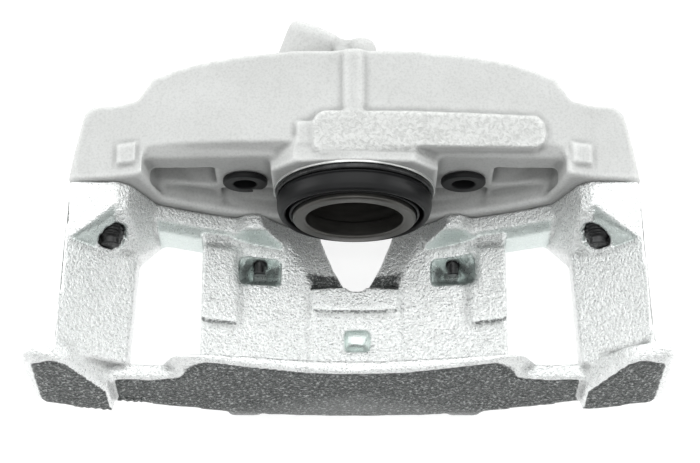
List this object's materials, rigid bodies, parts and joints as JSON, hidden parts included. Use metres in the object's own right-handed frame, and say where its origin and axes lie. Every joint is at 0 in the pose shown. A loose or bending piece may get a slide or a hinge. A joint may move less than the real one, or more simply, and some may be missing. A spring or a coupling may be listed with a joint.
{
  "type": "floating brake caliper",
  "caption": "Floating disc brake caliper: aluminium piston housing bolted to a plated cast iron frame with an open bridge and an outer bar.",
  "frame": {"origin": "middle of the underside of the bounding box, on the plane the caliper lies on", "axes": "+X to the right seen from the outer bar, +Y from the outer bar towards the back of the piston housing, along the piston's axis, +Z from the outer surface towards the brake disc's axis"},
  "size_m": [0.303, 0.1868, 0.0985],
  "materials": {
    "cast_aluminium": "blasted casting",
    "zinc_plated_iron": "bright zinc plating on a rough sand casting",
    "piston_steel": "dark phosphated",
    "black_steel": "black coated, satin",
    "boot_rubber": "satin",
    "seal_rubber": "smooth",
    "zinc_plating": "yellowish zinc",
    "black_plastic": "satin"
  },
  "bodies": {
    "caliper": {"piston_housing": "cast_aluminium", "outer_frame": "zinc_plated_iron", "frame_bolt_left": "black_steel", "frame_bolt_right": "black_steel", "bridge_bolt_left": "black_steel", "bridge_bolt_right": "black_steel", "guide_bush_left": "boot_rubber", "guide_bush_right": "boot_rubber", "piston_seal": "seal_rubber", "boot_ring": "black_steel", "dust_boot": "boot_rubber"},
    "piston": {"piston": "piston_steel"},
    "bleeder_screw": {"bleeder_screw": "zinc_plating"},
    "bleeder_cap": {"bleeder_cap": "boot_rubber"},
    "guide_cap_left": {"guide_cap_left": "black_plastic"},
    "guide_cap_right": {"guide_cap_right": "black_plastic"}
  },
  "joints": [
    {"name": "piston_slide", "type": "slide", "parent": "caliper", "child": "piston", "axis": [0, -1, 0], "range_m": [-0.002, 0.022], "deforming": ["dust_boot"]},
    {"name": "bleeder_turn", "type": "hinge", "parent": "caliper", "child": "bleeder_screw", "pos_m": [0.023, 0.07167, 0.032], "axis": [0, 1, 0], "range_deg": [0, 360]},
    {"name": "bleeder_cap_pull", "type": "slide", "parent": "bleeder_screw", "child": "bleeder_cap", "axis": [0, 1, 0], "range_m": [0, 0.02]},
    {"name": "guide_cap_left_pull", "type": "slide", "parent": "caliper", "child": "guide_cap_left", "axis": [0, 1, 0], "range_m": [0, 0.02]},
    {"name": "guide_cap_right_pull", "type": "slide", "parent": "caliper", "child": "guide_cap_right", "axis": [0, 1, 0], "range_m": [0, 0.02]}
  ]
}
